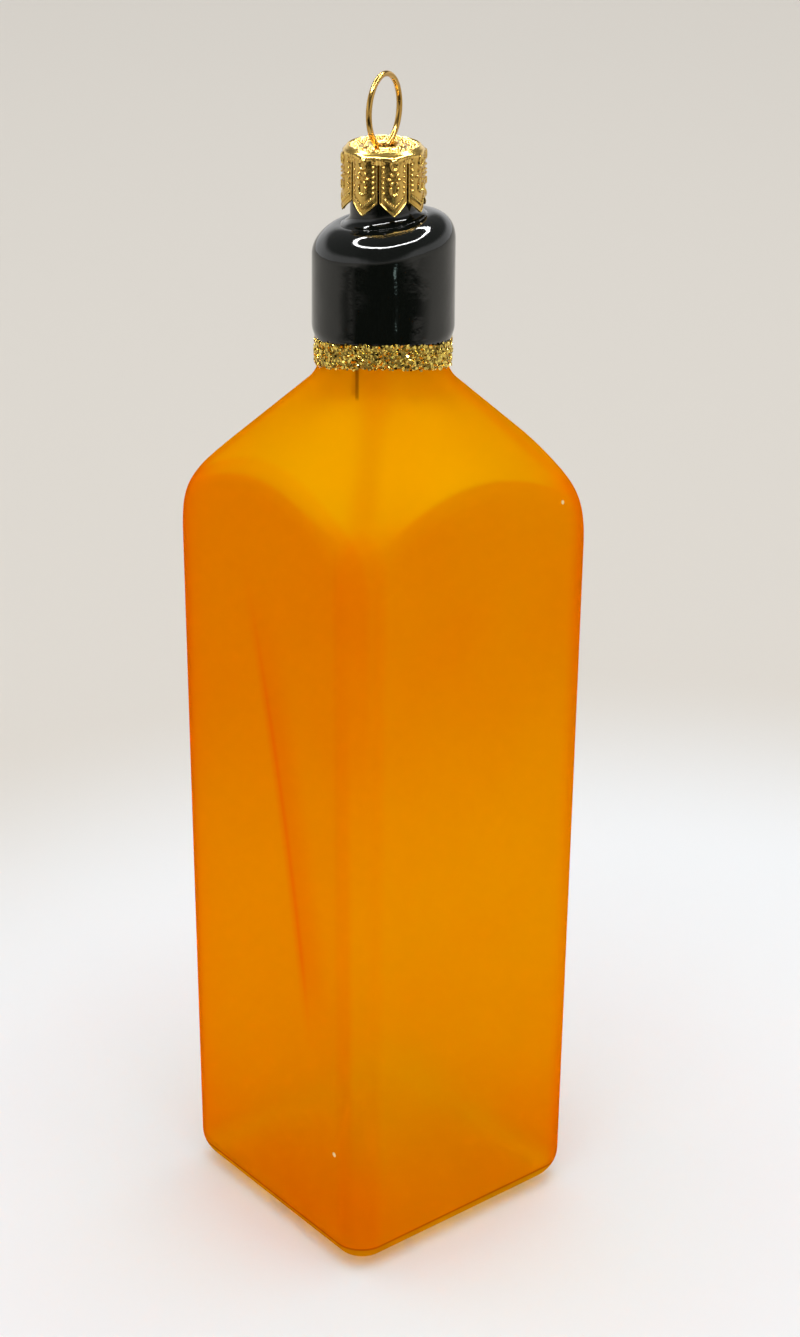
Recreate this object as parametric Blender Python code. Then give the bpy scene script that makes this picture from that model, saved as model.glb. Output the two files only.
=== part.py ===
"""Hanging glass ornament in the shape of a square spirit bottle.

A blown glass shell runs from a square base through arched faces and a cone to a round neck, a
stopper-shaped bulb and the short tube, called the pike, by which it was blown. The bulb and the pike
are lacquered black, and a band of glitter covers the lacquer's edge. A stamped crown cap sits on the
pike, and a spring-wire hanger turns in the cap's eyelet, with its two legs spread inside the neck.

Sizes are in metres and angles in radians. +Z is up, the base stands on Z = 0, the faces look along
X and Y, and the axis of the neck, the cap and the hanger is the Z axis.
"""

import math
from collections import namedtuple

import bmesh
import bpy
import numpy as np

# Square body of the blown glass
GLASS_WALL = 0.0007
BASE_HALF_SIDE = 0.0188
FACE_FLARE = 0.00045
SIDE_EDGE_RADIUS = 0.0041
BASE_EDGE_RADIUS = 0.0049
# How much the upright edges tighten, for each unit that the base edge draws in
EDGE_TIGHTENING_SHARE = 0.65

# Turned form that cuts the square body's top into four arched faces
CORNER_REACH = 0.0264
SHOULDER_HEIGHT = 0.1001
SHOULDER_ROUNDING = 0.012
CONE_ANGLE = math.radians(48.4)
ARCH_BLEND = 0.0019

# Round neck, under the glitter band
NECK_RADIUS = 0.0077
NECK_FILLET = 0.006
NECK_LENGTH = 0.004

# Stopper-shaped bulb, blown by eye, so its top leans
BULB_SWELL = 0.00058
BULB_TOP_RADIUS_SHARE = 0.99
BULB_HEIGHT = 0.0147
BULB_FOOT_RISE = 0.0019
BULB_FOOT_FILLET = 0.0012
BULB_FOOT_ROUNDING = 0.0022
BULB_TOP_ROUNDING = 0.0029
BULB_LEAN = math.radians(8.0)
BULB_LEAN_TOWARDS = math.radians(51.3)
LEAN_START_SHARE = 0.3
LEAN_END_SHARE = 0.9

# Pike, the tube at the top that the glass was blown through
PIKE_RADIUS = 0.0036
PIKE_LENGTH = 0.00865
PIKE_FILLET = 0.0016

# Black lacquer on the bulb and the pike's foot
LACQUER_GAP = 0.0002
LACQUER_THICKNESS = 0.00025
LACQUER_PIKE_SHARE = 0.55

# Glitter band, laid on by hand, so its edges wander
BAND_FOOT_RISE = 0.0018
BAND_WIDTH = 0.00295
BAND_THICKNESS = 0.00045
BAND_GAP = 0.00025
BAND_EDGE_SHARE = 0.5
BAND_TILT = 0.0006
BAND_WAVE = 0.00055
BAND_HIGH_SIDE = math.radians(-38.7)

# Crown cap, stamped from thin brass sheet
CROWN_SHEET = 0.00028
CROWN_PLAY = 0.00072
CROWN_SEAT_GAP = 0.0003
CROWN_RIM_ROUNDING = 0.0008
CROWN_TIP_CLEARANCE = 0.00135
PRONG_COUNT = 8
PRONG_POINT_LENGTH = 0.0016
PRONG_BOW = 0.00025
BOW_START_SHARE = 0.5
SLIT_WIDTH = 0.00026
SLIT_START_DROP = 0.0013
CROWN_TURN = math.radians(-1.7)
RING_RADIUS_SHARE = 0.32
RING_HEIGHT = 0.00014

# Spring-wire hanger
WIRE_RADIUS = 0.00036
FOOT_HALF_SPACING = 0.00065
EYELET_PLAY = 0.00025
LOOP_HALF_WIDTH = 0.0036
LOOP_HALF_HEIGHT = 0.00425
LOOP_RISE = 0.00425
LEG_JOINT_GAP = 0.0003
LEG_PLAY = 0.00014
LEG_BEND_RADIUS = 0.012
LEG_OVERHANG = 0.001
HANGER_TURN = math.radians(-68.7)

# Facets
FACE_STEPS = 5
EDGE_STEPS = 4
BASE_STEPS = 4
BAND_STEPS = 4
PRONG_STEPS = 6
PRONG_ROWS = 3
LOOP_STEPS = 20
WIRE_ROUND_STEPS = 2

# Most of a run that the fillets at its ends may take, and a length too small to matter
LONGEST_FILLET_SHARE = 0.98
FLAT = 1e-9

# Places that follow from the sizes above
SHOULDER_HALF_SIDE = BASE_HALF_SIDE + FACE_FLARE
BULB_RADIUS = NECK_RADIUS + BULB_SWELL
NECK_FOOT = SHOULDER_HEIGHT + (CORNER_REACH - NECK_RADIUS) / math.tan(CONE_ANGLE)
BULB_FOOT = NECK_FOOT + NECK_LENGTH
BULB_TOP = BULB_FOOT + BULB_HEIGHT
MOUTH = BULB_TOP + PIKE_LENGTH
BAND_FOOT = NECK_FOOT + BAND_FOOT_RISE
CROWN_UNDERSIDE = MOUTH + CROWN_SEAT_GAP
CROWN_TOP = CROWN_UNDERSIDE + CROWN_SHEET
LACQUER_TOP = LACQUER_GAP + LACQUER_THICKNESS
CROWN_RADIUS = PIKE_RADIUS + LACQUER_TOP + CROWN_PLAY + CROWN_SHEET
PRONG_TIP_HEIGHT = BULB_TOP + LACQUER_TOP + CROWN_TIP_CLEARANCE

# Edges that turn further than this show as edges
SHARP_ANGLE = math.radians(35)

# One corner of a turned outline: its place, its rounding, and the steps in its arc and in the run to it
Corner = namedtuple("Corner", "radius height rounding arc_steps run_steps")

# Finishes, each with its name, colour, roughness, metalness and opacity
Finish = namedtuple("Finish", "name color roughness metallic alpha")
ORANGE_GLASS = Finish("satin_orange_glass", (0.78, 0.22, 0.0), 0.45, 0.0, 0.9)
BLACK_LACQUER = Finish("black_lacquer", (0.004, 0.005, 0.004), 0.08, 0.0, 1.0)
GOLD_GLITTER = Finish("gold_glitter", (0.42, 0.27, 0.05), 0.35, 0.8, 1.0)
STAMPED_BRASS = Finish("stamped_brass", (0.75, 0.48, 0.13), 0.28, 1.0, 1.0)
GILT_WIRE = Finish("gilt_spring_wire", (0.72, 0.43, 0.11), 0.2, 1.0, 1.0)


def unit(vector):
    return vector / np.linalg.norm(vector)


def arc_points(centre, start, end, steps):
    """Points after start, up to end, along the shorter arc about centre."""
    first = math.atan2(*(start - centre)[::-1])
    turn = math.remainder(math.atan2(*(end - centre)[::-1]) - first, math.tau)
    angles = first + turn * np.arange(1, steps + 1) / steps
    reach = np.linalg.norm(start - centre)
    return [centre + reach * np.array([math.cos(a), math.sin(a)]) for a in angles]


def straight_points(start, end, steps):
    """Points after start, up to end, in even steps."""
    return [start + (end - start) * k / steps for k in range(1, steps + 1)]


def fillets(places, corners):
    """How far each corner's arc reaches along its runs, and its radius, both limited by the runs."""
    runs = np.diff(places, axis=0)
    lengths = np.linalg.norm(runs, axis=1)
    ways = runs / lengths[:, None]
    half_turns = np.arccos(np.clip(np.sum(ways[:-1] * ways[1:], axis=1), -1, 1)) / 2
    wanted = np.array([c.rounding for c in corners[1:-1]]) * np.tan(half_turns)
    reaches = np.concatenate([[0], wanted, [0]])
    fits = np.minimum(LONGEST_FILLET_SHARE * lengths / np.maximum(reaches[:-1] + reaches[1:], FLAT), 1)
    reaches = wanted * np.minimum(fits[:-1], fits[1:])
    return reaches, reaches / np.tan(half_turns)


def rounded_outline(corners, coarseness=1):
    """Rows of (radius, height) along straight runs whose inner corners are rounded by arcs."""
    places = np.array([(c.radius, c.height) for c in corners])
    points = [places[0]]
    for k, (reach, rounding) in enumerate(zip(*fillets(places, corners)), 1):
        corner, place = corners[k], places[k]
        back, ahead = unit(places[k - 1] - place), unit(places[k + 1] - place)
        centre = place + unit(back + ahead) * math.hypot(reach, rounding)
        start, end = place + back * reach, place + ahead * reach
        points += straight_points(points[-1], start, max(corner.run_steps // coarseness, 1))
        points += arc_points(centre, start, end, max(corner.arc_steps // coarseness, 1))
    points += straight_points(points[-1], places[-1], max(corners[-1].run_steps // coarseness, 1))
    return np.array(points)


def offset_outline(outline, distance):
    """The outline moved sideways by distance, outwards where it is positive."""
    runs = np.diff(outline, axis=0)
    runs /= np.linalg.norm(runs, axis=1)[:, None]
    before, after = np.vstack([runs[:1], runs]), np.vstack([runs, runs[-1:]])
    middle = before + after
    middle /= np.linalg.norm(middle, axis=1)[:, None]
    outward = np.stack([middle[:, 1], -middle[:, 0]], axis=1)
    stretch = 1 / np.sum(middle * after, axis=1)
    return outline + outward * distance * stretch[:, None]


def bulb_corners(end):
    """The turned outline of the bulb and of the pike, up to a height on the pike."""
    return [
        Corner(BULB_RADIUS, BULB_FOOT + BULB_FOOT_RISE, BULB_FOOT_ROUNDING, 2, 1),
        Corner(BULB_RADIUS * BULB_TOP_RADIUS_SHARE, BULB_TOP, BULB_TOP_ROUNDING, 5, 3),
        Corner(PIKE_RADIUS, BULB_TOP, PIKE_FILLET, 3, 1),
        Corner(PIKE_RADIUS, end, 0, 1, 2),
    ]


def glass_corners():
    """The glass's turned outline, from the top of the base edge up to the mouth."""
    return [
        Corner(CORNER_REACH, BASE_EDGE_RADIUS, 0, 1, 1),
        Corner(CORNER_REACH, SHOULDER_HEIGHT, SHOULDER_ROUNDING, 7, 6),
        Corner(NECK_RADIUS, NECK_FOOT, NECK_FILLET, 4, 10),
        Corner(NECK_RADIUS, BULB_FOOT, BULB_FOOT_FILLET, 1, 1),
    ] + bulb_corners(MOUTH)


def square_reach(angles, half_side, edge_radius):
    """Distance from the axis to a square with rounded edges, at each angle."""
    off_axis = np.abs((angles + math.pi / 4) % (math.pi / 2) - math.pi / 4)
    flat = half_side / np.cos(off_axis)
    edge_centre = (half_side - edge_radius) * math.sqrt(2)
    off_corner = math.pi / 4 - off_axis
    chord = edge_radius**2 - (edge_centre * np.sin(off_corner)) ** 2
    edge = edge_centre * np.cos(off_corner) + np.sqrt(np.maximum(chord, 0))
    return np.where(flat * np.sin(off_axis) <= half_side - edge_radius, flat, edge)


def soft_minimum(first, second, blend):
    """The smaller of two distances, with the crease between them rounded over the blend's width."""
    share = np.clip((1 + (second - first) / blend) / 2, 0, 1)
    return second + (first - second) * share - blend * share * (1 - share)


def ring_angles():
    """Angles of the upright facets, closer together round the body's edges."""
    edge_start = math.atan2(SHOULDER_HALF_SIDE - SIDE_EDGE_RADIUS, SHOULDER_HALF_SIDE)
    face = np.linspace(0, edge_start, FACE_STEPS, endpoint=False)
    edge = np.linspace(edge_start, math.pi / 2 - edge_start, EDGE_STEPS, endpoint=False)
    quarter = np.concatenate([face, edge, math.pi / 2 - face[:0:-1], [math.pi / 2 - edge_start]])
    return (np.sort(quarter)[None, :] + np.arange(4)[:, None] * math.pi / 2).ravel()


ANGLES = ring_angles()


def smooth_step(value):
    share = np.clip(value, 0, 1)
    return share * share * (3 - 2 * share)


def leaned(points):
    """Tilts the bulb's top, and leaves the neck and the mouth level."""
    height = points[:, 2]
    up_the_bulb = (height - BULB_FOOT) / BULB_HEIGHT
    rise = smooth_step((up_the_bulb - LEAN_START_SHARE) / (1 - LEAN_START_SHARE))
    fall = smooth_step((height - BULB_TOP) / PIKE_LENGTH / LEAN_END_SHARE)
    towards = np.array([math.cos(BULB_LEAN_TOWARDS), math.sin(BULB_LEAN_TOWARDS)])
    lift = points[:, :2] @ towards * math.tan(BULB_LEAN) * rise * (1 - fall)
    return points + np.stack([np.zeros_like(lift), np.zeros_like(lift), lift], axis=1)


def ring(reach, height):
    """Points at each facet angle, at a reach and a height that may differ from angle to angle."""
    reach, height = np.broadcast_to(reach, ANGLES.shape), np.broadcast_to(height, ANGLES.shape)
    return leaned(np.stack([reach * np.cos(ANGLES), reach * np.sin(ANGLES), height], axis=1))


def body_ring(turned_radius, height, inset, depth):
    """One level ring of the glass, where the square body and the turned form meet in a soft crease."""
    grown = min(height / SHOULDER_HEIGHT, 1) * FACE_FLARE
    half_side = BASE_HALF_SIDE + grown - inset - depth
    edge_radius = SIDE_EDGE_RADIUS - EDGE_TIGHTENING_SHARE * inset - depth
    square = square_reach(ANGLES, half_side, edge_radius)
    return ring(soft_minimum(square, turned_radius, ARCH_BLEND), height)


def glass_surface(depth, coarseness):
    """Rings of the glass from its base to its mouth, at a depth below the outer surface."""
    edge_radius = BASE_EDGE_RADIUS - depth
    rings = []
    for angle in np.linspace(0, math.pi / 2, BASE_STEPS // coarseness, endpoint=False):
        inset = edge_radius * (1 - math.sin(angle))
        height = depth + edge_radius * (1 - math.cos(angle))
        rings.append(body_ring(CORNER_REACH - depth, height, inset, depth))
    outline = offset_outline(rounded_outline(glass_corners(), coarseness), -depth)
    return rings + [body_ring(radius, height, 0, depth) for radius, height in outline]


def add_rings(bm, rings):
    return [[bm.verts.new(point) for point in points] for points in rings]


def bridge(bm, lower, upper):
    """Joins two rings of vertices with a belt of quads."""
    for k, vertex in enumerate(lower):
        following = (k + 1) % len(lower)
        bm.faces.new([vertex, lower[following], upper[following], upper[k]])


def close_with_fan(bm, vertices):
    """Closes a ring with triangles that meet in its middle."""
    middle = bm.verts.new(np.mean([v.co for v in vertices], axis=0))
    for k, vertex in enumerate(vertices):
        bm.faces.new([vertex, vertices[(k + 1) % len(vertices)], middle])


def material(finish):
    made = bpy.data.materials.new(finish.name)
    made.use_nodes = True
    shader = made.node_tree.nodes["Principled BSDF"]
    shader.inputs["Base Color"].default_value = (*finish.color, 1.0)
    shader.inputs["Roughness"].default_value = finish.roughness
    shader.inputs["Metallic"].default_value = finish.metallic
    shader.inputs["Alpha"].default_value = finish.alpha
    made.diffuse_color = (*finish.color, finish.alpha)
    return made


def finish_mesh(bm, name, finish, parent=None):
    """Turns the bmesh into a smooth-shaded object with its own material."""
    bmesh.ops.recalc_face_normals(bm, faces=bm.faces)
    mesh = bpy.data.meshes.new(name)
    bm.to_mesh(mesh)
    bm.free()
    mesh.shade_smooth()
    mesh.set_sharp_from_angle(angle=SHARP_ANGLE)
    mesh.materials.append(material(finish))
    made = bpy.data.objects.new(name, mesh)
    made.parent = parent
    bpy.context.collection.objects.link(made)
    return made


def axis_empty(name, height, turn, parent=None):
    """An empty on the common axis, which carries the pieces that turn or slide there."""
    made = bpy.data.objects.new(name, None)
    made.empty_display_size = CROWN_RADIUS
    made.parent = parent
    made.location.z = height
    made.rotation_euler.z = turn
    bpy.context.collection.objects.link(made)
    return made


def build_glass_bottle():
    """The blown shell, open at the mouth: outer surface, lip, then the inner surface down again."""
    bm = bmesh.new()
    outside = add_rings(bm, glass_surface(0, 1))
    inside = add_rings(bm, glass_surface(GLASS_WALL, 2))
    walk = outside + inside[::-1]
    for lower, upper in zip(walk, walk[1:]):
        bridge(bm, lower, upper)
    close_with_fan(bm, outside[0])
    close_with_fan(bm, inside[0])
    finish_mesh(bm, "glass_bottle", ORANGE_GLASS)


def band_edge(rise):
    """Height of the glitter band's lower edge, and of what lies rise above it, at each angle."""
    away = ANGLES - BAND_HIGH_SIDE
    return BAND_FOOT + rise + BAND_TILT * np.cos(away) + BAND_WAVE * np.cos(2 * away)


def neck_reach(height, distance):
    """Radius at a height of the surface that lies a distance outside the neck and the bulb's foot."""
    outline = offset_outline(rounded_outline(glass_corners()), distance)
    upright = outline[(outline[:, 1] > SHOULDER_HEIGHT) & (outline[:, 1] < BULB_TOP - BULB_TOP_ROUNDING)]
    return np.interp(height, upright[:, 1], upright[:, 0])


def lacquer_surface(distance):
    """Rings of the lacquer: an edge that follows the band, then the bulb and the pike's foot."""
    outline = rounded_outline(bulb_corners(BULB_TOP + PIKE_LENGTH * LACQUER_PIKE_SHARE))
    outline[0, 1] += BULB_FOOT_ROUNDING / 2
    edge = band_edge(BAND_WIDTH + BAND_GAP)
    rings = [ring(neck_reach(edge, distance), edge)]
    return rings + [ring(radius, height) for radius, height in offset_outline(outline, distance)]


def build_stopper_lacquer():
    """The black coat, a thin open sleeve that takes the glass's form."""
    bm = bmesh.new()
    outside = add_rings(bm, lacquer_surface(LACQUER_TOP))
    inside = add_rings(bm, lacquer_surface(LACQUER_GAP))
    walk = outside + inside[::-1] + outside[:1]
    for lower, upper in zip(walk, walk[1:]):
        bridge(bm, lower, upper)
    finish_mesh(bm, "stopper_lacquer", BLACK_LACQUER)


def build_glitter_band():
    """The glued glitter, a crowned ring that follows the neck."""
    shares = np.linspace(0, 1, BAND_STEPS + 1)
    inner, outer = [], []
    for share in shares:
        height = band_edge(BAND_WIDTH * share)
        crown = BAND_EDGE_SHARE + (1 - BAND_EDGE_SHARE) * math.sin(math.pi * share)
        inner.append(ring(neck_reach(height, BAND_GAP), height))
        outer.append(ring(neck_reach(height, BAND_GAP + BAND_THICKNESS * crown), height))
    bm = bmesh.new()
    walk = add_rings(bm, inner + outer[::-1])
    for lower, upper in zip(walk, walk[1:] + walk[:1]):
        bridge(bm, lower, upper)
    finish_mesh(bm, "glitter_band", GOLD_GLITTER)


def crown_rows(half_pitch, off_middle):
    """One column of the crown's sheet: from the eyelet out to the rim, then down its prong.

    off_middle is the column's angle from the middle of its prong, and half_pitch is half a prong's angle.
    """
    eyelet = FOOT_HALF_SPACING + WIRE_RADIUS + EYELET_PLAY
    slit_top = CROWN_TOP - SLIT_START_DROP
    rim = rounded_outline(
        [
            Corner(eyelet, CROWN_TOP, 0, 1, 1),
            Corner(CROWN_RADIUS, CROWN_TOP, CROWN_RIM_ROUNDING, 3, 4),
            Corner(CROWN_RADIUS, slit_top, 0, 1, 1),
        ]
    )
    raised = np.argmin(np.abs(rim[:, 0] - eyelet - (CROWN_RADIUS - eyelet) * RING_RADIUS_SHARE))
    rim[raised, 1] += RING_HEIGHT
    across = min(abs(off_middle) / half_pitch, 1)
    tip = PRONG_TIP_HEIGHT + PRONG_POINT_LENGTH * across
    for share in np.linspace(0, 1, PRONG_ROWS + 1)[1:]:
        radius = CROWN_RADIUS - PRONG_BOW * across**2 * smooth_step(share / BOW_START_SHARE)
        rim = np.vstack([rim, [radius, slit_top + (tip - slit_top) * share]])
    return rim


def build_crown_cap(parent):
    """The stamped crown: a disc with an eyelet and eight bowed, pointed prongs with slits between."""
    pitch = math.tau / PRONG_COUNT
    slit_angle = SLIT_WIDTH / CROWN_RADIUS
    half_prong = (pitch - slit_angle) / 2
    across = np.linspace(-half_prong, half_prong, PRONG_STEPS + 1)
    bm = bmesh.new()
    columns, after_slit = [], []
    for prong in range(PRONG_COUNT):
        for number, off_middle in enumerate(across):
            angle = CROWN_TURN + (prong + 0.5) * pitch + off_middle
            rows = crown_rows(half_prong, off_middle)
            points = [(r * math.cos(angle), r * math.sin(angle), z - parent.location.z) for r, z in rows]
            columns.append([bm.verts.new(point) for point in points])
            after_slit.append(number == PRONG_STEPS)
    slit_row = len(columns[0]) - PRONG_ROWS - 1
    for k, left in enumerate(columns):
        right = columns[(k + 1) % len(columns)]
        last = slit_row if after_slit[k] else len(left) - 1
        for row in range(last):
            bm.faces.new([left[row], left[row + 1], right[row + 1], right[row]])
    made = finish_mesh(bm, "crown_cap", STAMPED_BRASS, parent)
    sheet = made.modifiers.new("sheet", "SOLIDIFY")
    sheet.thickness = CROWN_SHEET
    sheet.offset = -1
    sheet.use_even_offset = True


def add_wire(name, path, made_of, parent):
    """A round wire along points of the hanger's plane, given as sideways places and heights."""
    curve = bpy.data.curves.new(name, "CURVE")
    curve.dimensions = "3D"
    curve.bevel_depth = WIRE_RADIUS
    curve.bevel_resolution = WIRE_ROUND_STEPS
    curve.use_fill_caps = True
    spline = curve.splines.new("POLY")
    spline.points.add(len(path) - 1)
    for point, (sideways, height) in zip(spline.points, path):
        point.co = (sideways, 0, height - parent.matrix_world.translation.z, 1)
    spline.use_smooth = True
    curve.materials.append(made_of)
    made = bpy.data.objects.new(name, curve)
    made.parent = parent
    bpy.context.collection.objects.link(made)


def loop_path():
    """Up from one foot in the eyelet, round the oval, and down to the other foot.

    The oval is a circle drawn out in height, so a foot's tangent is found on that circle.
    """
    centre_height = CROWN_TOP + LOOP_RISE
    rise_on_circle = LOOP_RISE * LOOP_HALF_WIDTH / LOOP_HALF_HEIGHT
    foot_distance = math.hypot(FOOT_HALF_SPACING, rise_on_circle)
    start = math.atan2(-rise_on_circle, FOOT_HALF_SPACING) + math.acos(LOOP_HALF_WIDTH / foot_distance)
    angles = np.linspace(start, math.pi - start, LOOP_STEPS + 1)
    oval = [(LOOP_HALF_WIDTH * math.cos(a), centre_height + LOOP_HALF_HEIGHT * math.sin(a)) for a in angles]
    feet = [(FOOT_HALF_SPACING, CROWN_UNDERSIDE), (FOOT_HALF_SPACING, CROWN_TOP)]
    return feet + oval + [(-sideways, height) for sideways, height in feet[::-1]]


def leg_path():
    """Down from the eyelet, past the pike's foot, and out to the tip inside the neck."""
    pike_bore = PIKE_RADIUS - GLASS_WALL
    tip_radius = NECK_RADIUS - GLASS_WALL - LEG_PLAY
    bend = Corner(pike_bore - WIRE_RADIUS - LEG_PLAY, BULB_TOP, LEG_BEND_RADIUS, 3, 2)
    top = Corner(FOOT_HALF_SPACING, CROWN_UNDERSIDE - LEG_JOINT_GAP, 0, 1, 1)
    tip = Corner(tip_radius, NECK_FOOT - LEG_OVERHANG, 0, 1, 5)
    return rounded_outline([top, bend, tip])


def build_hanger(parent):
    """The spring wire: a stiff loop above the cap, and two springy legs below it."""
    wire = material(GILT_WIRE)
    add_wire("hanger_loop", loop_path(), wire, parent)
    for name, side in (("spring_leg_front", 1), ("spring_leg_back", -1)):
        add_wire(name, leg_path() * np.array([side, 1]), wire, parent)


def main():
    for old in list(bpy.data.objects):
        bpy.data.objects.remove(old)
    build_glass_bottle()
    build_stopper_lacquer()
    build_glitter_band()
    cap_axis = axis_empty("cap_axis", MOUTH, 0)
    build_crown_cap(cap_axis)
    hanger_axis = axis_empty("hanger_axis", CROWN_TOP - MOUTH, HANGER_TURN, cap_axis)
    bpy.context.view_layer.update()
    build_hanger(hanger_axis)


main()
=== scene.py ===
"""Finished surfaces of a hanging glass ornament in the shape of a square spirit bottle.

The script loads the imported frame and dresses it: satin orange glass, dipped black lacquer, a glued
glitter band, a stamped gilt crown and its spring wire, on a plain pale studio floor.

Sizes are in metres and angles in radians. +Z is up, the base stands on Z = 0, and the faces of the
glass look along X and Y.
"""

import math
from collections import namedtuple
from functools import partial

import bpy
import numpy as np
from bpy.props import FloatProperty, FloatVectorProperty, IntProperty, PointerProperty
from mathutils import Matrix, Vector


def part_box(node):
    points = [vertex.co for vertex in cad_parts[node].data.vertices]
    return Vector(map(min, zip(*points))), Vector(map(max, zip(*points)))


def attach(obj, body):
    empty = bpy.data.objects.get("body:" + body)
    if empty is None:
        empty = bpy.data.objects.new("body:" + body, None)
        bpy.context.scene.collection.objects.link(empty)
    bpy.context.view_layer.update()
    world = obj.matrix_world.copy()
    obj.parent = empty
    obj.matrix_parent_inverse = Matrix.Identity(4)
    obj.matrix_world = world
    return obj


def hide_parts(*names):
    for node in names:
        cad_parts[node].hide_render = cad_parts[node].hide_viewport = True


bl_info = {
    "name": "Bottle Ornament Finishes",
    "version": (1, 0, 0),
    "blender": (4, 5, 0),
    "location": "3D View > Sidebar > Ornament",
    "description": "Dresses the frame of a hanging glass bottle ornament in its finished surfaces",
    "category": "Add Mesh",
}

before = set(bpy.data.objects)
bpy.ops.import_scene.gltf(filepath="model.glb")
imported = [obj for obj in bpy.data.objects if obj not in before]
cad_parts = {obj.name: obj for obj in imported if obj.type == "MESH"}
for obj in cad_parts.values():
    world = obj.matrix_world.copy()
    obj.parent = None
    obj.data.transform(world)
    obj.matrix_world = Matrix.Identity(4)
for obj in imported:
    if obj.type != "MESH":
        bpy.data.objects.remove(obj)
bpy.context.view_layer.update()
GLASS_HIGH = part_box("glass_bottle")[1]
CROWN_LOW, CROWN_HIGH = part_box("crown_cap")

SEED = 7
MILLIMETRE = 0.001
UP = np.array([0, 0, 1])
# Level directions at the object's front: out of it, and to its right
FRONTWARD, RIGHTWARD = (0.78, -0.626, 0), (0.626, 0.78, 0)
# The top of the crown's sheet, under the relief that reaches the frame's own top
CROWN_TOP = CROWN_HIGH.z - 0.14 * MILLIMETRE

# A corner of a turned outline: its place, its rounding, and the steps in its arc and the run to it
Corner = namedtuple("Corner", "radius height rounding arc_steps run_steps")


# Property helpers


def linear(code):
    """An sRGB hex colour as the linear red, green and blue that the nodes work in."""
    shares = [int(code[k : k + 2], 16) / 255 for k in (1, 3, 5)]
    return tuple(c / 12.92 if c <= 0.04045 else ((c + 0.055) / 1.055) ** 2.4 for c in shares)


def length(name, description, default):
    return FloatProperty(
        name=name, description=description, default=default, unit="LENGTH", precision=5, step=0.01
    )


def turn(name, description, degrees):
    return FloatProperty(
        name=name, description=description, default=math.radians(degrees), unit="ROTATION"
    )


def share(name, description, default):
    return FloatProperty(name=name, description=description, default=default, min=0, max=1)


def color(name, description, code):
    return FloatVectorProperty(
        name=name, description=description, default=linear(code), subtype="COLOR", min=0, max=1
    )


def strength(name, description, default):
    return FloatProperty(name=name, description=description, default=default, min=0)


def place(name, description, default):
    return FloatVectorProperty(
        name=name, description=description, default=default, subtype="TRANSLATION", precision=4
    )


# Settings


class GlassSettings(bpy.types.PropertyGroup):
    """Sizes and colours of the blown glass."""

    wall: length("Wall", "Thickness of the blown glass", 0.0007)
    widest_half_side: length("Half side", "Half the body's side under the shoulder", GLASS_HIGH.x)
    face_flare: length("Flare", "How much the half side grows from base to shoulder", 0.00045)
    side_edge: length("Side edge", "Rounding of the upright edges", 0.0041)
    base_edge: length("Base edge", "Rounding of the edge round the base", 0.0049)
    edge_tightening: share("Edge tightening", "Share of the base's draft side edges lose", 0.65)
    base_dish: length("Base dish", "Rise of the base's middle over the floor", 0.0005)
    corner_reach: length("Corner reach", "Radius of the turned form that cuts the corners", 0.0264)
    shoulder_height: length("Shoulder height", "Height where cone and corners would meet", 0.1001)
    shoulder_rounding: length("Shoulder rounding", "Rounding between corners and cone", 0.012)
    cone_angle: turn("Cone angle", "Angle between the axis and the cone", 48.4)
    arch_blend: length("Arch blend", "Width of the soft crease round each arched face", 0.0019)
    neck_radius: length("Neck radius", "Radius of the neck", 0.0077)
    neck_fillet: length("Neck fillet", "Rounding between cone and neck", 0.006)
    neck_length: length("Neck length", "Length of the neck under the bulb", 0.004)
    bulb_swell: length("Bulb swell", "How far the bulb stands proud of the neck", 0.00058)
    bulb_height: length("Bulb height", "Height of the stopper-shaped bulb", 0.0147)
    bulb_rounding: length("Bulb rounding", "Rounding of the bulb's top edge", 0.0029)
    bulb_lean: turn("Bulb lean", "How far the bulb's top leans", 8.0)
    bulb_lean_towards: turn("Bulb leans towards", "Direction of the lean, from the X axis", 51.3)
    pike_radius: length("Pike radius", "Radius of the tube at the top", 0.0036)
    pike_fillet: length("Pike fillet", "Rounding at the tube's foot", 0.0016)
    orange: color("Orange", "Colour of the lacquer where light comes straight through", "#FFC900")
    deep_orange: color("Deep orange", "Colour of the lacquer seen edge on", "#FFA200")
    # Painted light: this paler tone stands for light through the cone and on the lower right face
    painted_light: color("Thin lacquer", "Colour of the lacquer where it lies thinner", "#FFE000")
    rim: color("Rim", "Colour of the lacquer at the very outline", "#F4B600")
    # Painted light: a paler strip under the painted shade line on the base edge
    foot: color("Foot", "Colour of the thin lacquer under the crease", "#F0BE00")
    sheen: color("Sheen", "Colour of the lacquer where the shoulders catch the light", "#FFB200")
    # Painted shade: a dark line on the base edge
    crease: color("Crease", "Colour of the line where the lacquer ends above the foot", "#C85A00")
    # Painted shade: a dark line where the hanger's leg shows through the glass
    leg: color("Leg", "Colour of the hanger's leg where it shows through the lacquer", "#7A4A00")
    speck: color("Speck", "Colour of two pinholes in the lacquer", "#FFE09A")
    # Painted light: a paler underside, against the floor's shade that shows through the base
    bare: color("Bare lacquer", "Colour of the underside, which took little spray", "#FFF4B0")
    # Deeper tone: the lacquer lies thicker in random clouds; painted shade on the upright edges, the
    # cone's ridges and the upper left face; a darker foot and streak
    pooled_and_shade: color("Pooled lacquer", "Colour of the lacquer where it lies thicker", "#FF7E00")


class LacquerSettings(bpy.types.PropertyGroup):
    """Sizes and colour of the dipped black lacquer."""

    gap: length("Gap", "Space that the frame leaves between glass and lacquer", 0.0002)
    thickness: length("Thickness", "Thickness of the coat", 0.00025)
    pike_share: share("Pike share", "Share of the pike that was dipped", 0.55)
    black: color("Black", "Colour of the lacquer", "#0E110E")


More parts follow.
